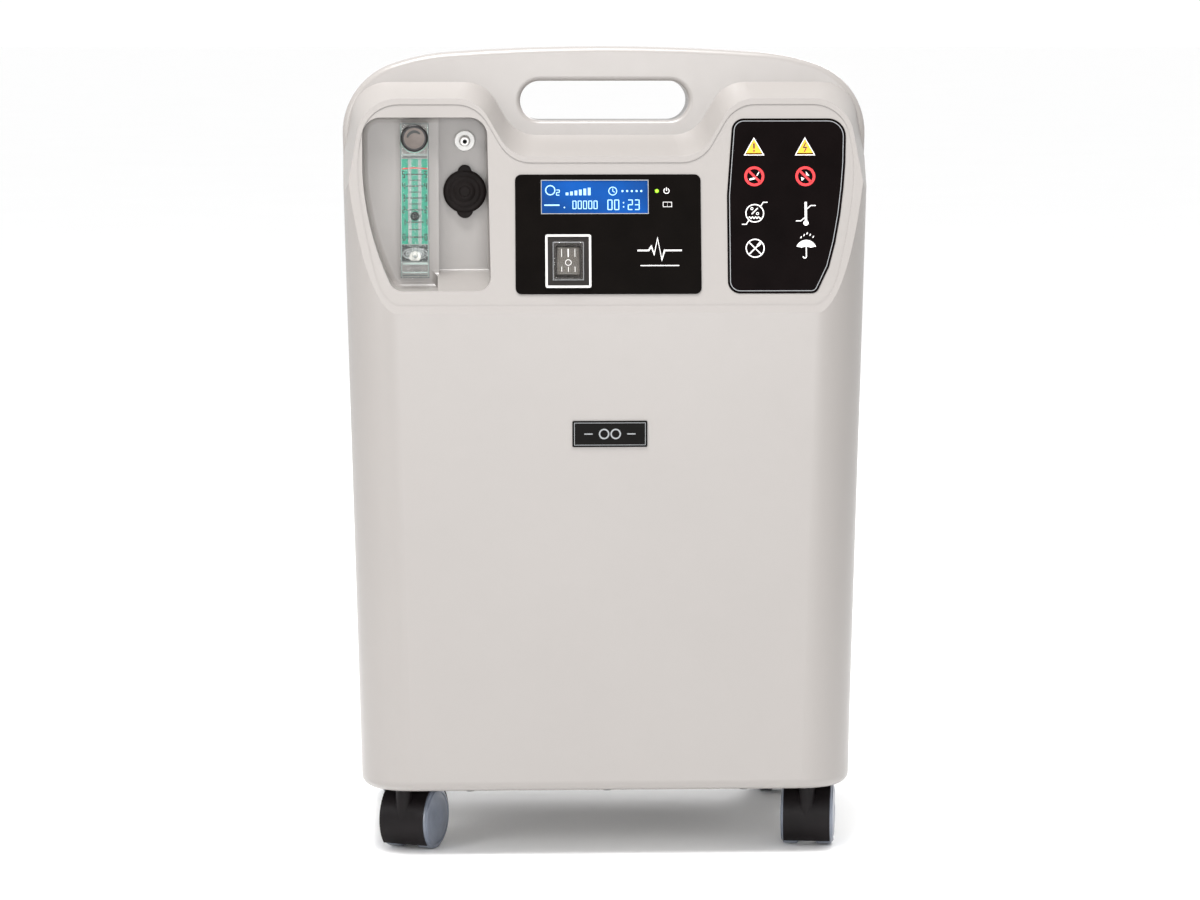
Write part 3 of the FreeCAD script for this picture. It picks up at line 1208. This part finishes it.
spring_low = size("tray_under") + size("tray_thick")
spring_high = size("motor_z") - 48
springs = [coil_spring(size("box_x") + x, size("box_y") + y, spring_low, spring_high, 9, 1.4, 5)
           for x in (-60, 60) for y in (-32, 32)]
free_shape("compressor_springs", Part.makeCompound(springs))


def fan_rotor(label, place, hub, tip, depth, blades, stub=None):
    """Fan: a hub and straight blades repeated round it."""
    rotor = new_body(label, place)
    sketch = circle_sketch(rotor, label + "_hub_circle", "XY_Plane", [("0", "0")], hub)
    core = rotor.newObject("PartDesign::Pad", label + "_hub")
    core.Profile = sketch
    core.setExpression("Length", depth)
    if stub:
        shaft = circle_sketch(rotor, label + "_shaft_circle", "XY_Plane", [("0", "0")], "4")
        shaft_pad = rotor.newObject("PartDesign::Pad", label + "_shaft")
        shaft_pad.Profile = shaft
        shaft_pad.Reversed = True
        shaft_pad.setExpression("Length", stub)
    blade = pad(rotor, label + "_blade", "XY_Plane", [
        (f"{hub} - 1", "-1"), (f"{tip} - 3", "-4"), (tip, "0"),
        (f"{tip} - 2", "4"), (f"{hub} - 1", "3")], depth)
    doc.recompute()
    ring = rotor.newObject("PartDesign::PolarPattern", label + "_ring")
    ring.Originals = [blade]
    ring.Axis = (sketch, ["N_Axis"])
    ring.Angle = 360
    ring.Occurrences = blades
    rotor.Tip = ring
    return rotor


fan_x = size("box_x") + END + CRANK / 2 + 0.6
fan_rotor("compressor_fan", FreeCAD.Placement(V(fan_x, size("box_y"), size("motor_z")), ALONG_X),
          "10", "36", "12", 7, "8")

frame_solid = block("fan_frame_block", "120", "120", "25", "sizes.box_x", "sizes.box_y", BOX_TOP)
frame_hole = rod("fan_frame_hole", "57", "20", "sizes.box_x", "sizes.box_y", f"{BOX_TOP} + 5")
frame_vents = [rod(f"fan_frame_vent_{index}", "14", "6",
                   f"sizes.box_x + {38 * math.cos(math.radians(90 * index + 45)):.2f}",
                   f"sizes.box_y + {38 * math.sin(math.radians(90 * index + 45)):.2f}", BOX_TOP)
               for index in range(4)]
fan_frame_room = fuse("fan_frame_room", frame_hole, *frame_vents)
keep(cut("cooling_fan_frame", frame_solid, fan_frame_room), "cooling_fan_frame")
fan_rotor("cooling_fan_rotor", FreeCAD.Placement(
    V(size("box_x"), size("box_y"), size("tray_under") + size("tray_thick") + size("box_high") + 7), UPRIGHT),
    "20", "54", "15", 7)


def tube(points, radius, bend):
    """Round tube along straight runs joined by tangent arcs."""
    edges = []
    start = points[0]
    for index in range(1, len(points) - 1):
        corner = points[index]
        arriving = corner.sub(points[index - 1]).normalize()
        leaving = points[index + 1].sub(corner).normalize()
        turn = arriving.getAngle(leaving)
        reach = bend * math.tan(turn / 2)
        first = corner.sub(V(arriving).multiply(reach))
        last = corner.add(V(leaving).multiply(reach))
        inward = V(leaving).sub(arriving).normalize()
        middle = corner.add(inward.multiply(bend / math.cos(turn / 2) - bend))
        edges.append(Part.LineSegment(start, first).toShape())
        edges.append(Part.Arc(first, middle, last).toShape())
        start = last
    edges.append(Part.LineSegment(start, points[-1]).toShape())
    path = Part.Wire(edges)
    ring = Part.Wire(Part.makeCircle(radius, points[0], points[1].sub(points[0])))
    return path.makePipeShell([ring], True, False)


def heat_exchanger():
    """Flat serpentine of tube above the cooling fan."""
    passes, pitch, half = 5, 24, 62
    level = size("tray_under") + size("tray_thick") + size("box_high") + 45
    points = []
    for index in range(passes):
        y = size("box_y") + (index - (passes - 1) / 2) * pitch
        ends = (-half, half) if index % 2 == 0 else (half, -half)
        points += [V(size("box_x") + end, y, level) for end in ends]
    return tube(points, 4, pitch / 2 - 0.5)


free_shape("heat_exchanger", heat_exchanger())

# ---------------------------------------------------------------------------
# Inside: sieve beds, valves, tank, filter, board, hoses
# ---------------------------------------------------------------------------
BED_SPOTS = (-66, 10)
beds = []
for index, y in enumerate(BED_SPOTS):
    barrel = rod(f"bed_barrel_{index}", "sizes.bed_radius", "sizes.bed_high", "sizes.bed_x", str(y), TRAY_TOP)
    caps = [rod(f"bed_cap_{index}_{end}", "sizes.bed_radius + 2", "10", "sizes.bed_x", str(y), level)
            for end, level in enumerate((TRAY_TOP, f"{TRAY_TOP} + sizes.bed_high - 10"))]
    beds.append(fuse(f"sieve_bed_{index}", barrel, *caps))
keep(group("sieve_beds", *beds), "sieve_beds")

MANIFOLD_LOW = f"({TRAY_TOP} + sizes.bed_high)"
keep(block("sieve_manifold", "46", "140", "20", "sizes.bed_x", "-28", MANIFOLD_LOW), "sieve_manifold")
valve_coil = rod("valve_coil", "12", "34", "sizes.bed_x + 10", "-28", f"{MANIFOLD_LOW} + 26")
valve_base = block("valve_base", "26", "60", "8", "sizes.bed_x + 10", "-28", f"{MANIFOLD_LOW} + 20")
keep(fuse("solenoid_valve", valve_coil, valve_base), "solenoid_valve")

tank_barrel = rod("tank_barrel", "sizes.tank_radius", "sizes.tank_high",
                  "sizes.tank_x", "sizes.tank_y", TRAY_TOP)
regulator = rod("regulator", "15", "24", "sizes.tank_x", "sizes.tank_y", f"{TRAY_TOP} + sizes.tank_high")
keep(fuse("product_tank", tank_barrel, regulator), "product_tank")

canister = rod("canister", "30", "70", "115", "62", "380")
spout = rod("spout", "5", "10", "115", "62", "370")
keep(fuse("intake_filter", canister, spout), "intake_filter")

board = block("board_sheet", "150", "1.6", "96", "8", "78", "378")
transformer = block("transformer", "44", "30", "40", "48", "62.2", "386")
heat_sink = block("heat_sink", "40", "18", "50", "-32", "68.2", "400")
keep(fuse("main_board", board, transformer, heat_sink), "main_board")

tail_end = value(METER_BACK) + 22
tank_top = size("tray_under") + size("tray_thick") + size("tank_high") + 24
spigot = V(size("outlet_x"), size("pocket_back") + size("wall") + HOUSING_DEPTH + 10, size("cap_z"))
meter_x, tank_x, tank_y = size("meter_x"), size("tank_x"), size("tank_y")
product_hose = tube([V(meter_x, tail_end, size("inlet_z")), V(meter_x, tank_y - 20, size("inlet_z")),
                     V(tank_x, tank_y, size("inlet_z") - 14), V(tank_x, tank_y, tank_top)], 3.2, 12)
outlet_hose = tube([V(meter_x, tail_end, UPPER_FITTING), V(meter_x, tail_end + 22, UPPER_FITTING),
                    V(meter_x, tail_end + 22, spigot.z), V(meter_x, 14, spigot.z),
                    V(spigot.x, 14, spigot.z), spigot], 3.2, 9)
intake_hose = tube([V(115, 62, 370), V(115, 62, 320), V(122, 50, 300),
                    V(122, 50, size("tray_under") + size("tray_thick") + size("box_high"))], 5, 14)
free_shape("hoses", Part.makeCompound([product_hose, outlet_hose, intake_hose]))

# ---------------------------------------------------------------------------
# Check every object, then write one file for each sub-part
# ---------------------------------------------------------------------------
doc.recompute()
for thing in doc.Objects:
    if "Invalid" in thing.State or "Error" in thing.State:
        raise SystemExit(f"{thing.Name} ({thing.Label}) did not recompute: {thing.State}")
for thing in parts:
    if thing.Shape.isNull() or not thing.Shape.isValid():
        raise SystemExit(f"{thing.Label} has no valid shape")

os.makedirs("parts", exist_ok=True)
for thing in parts:
    thing.Shape.exportStep(f"parts/{thing.Label}.step")
    print(f"{thing.Label:24s} {len(thing.Shape.Solids):2d} solids {thing.Shape.Volume / 1000:10.2f} cm3")
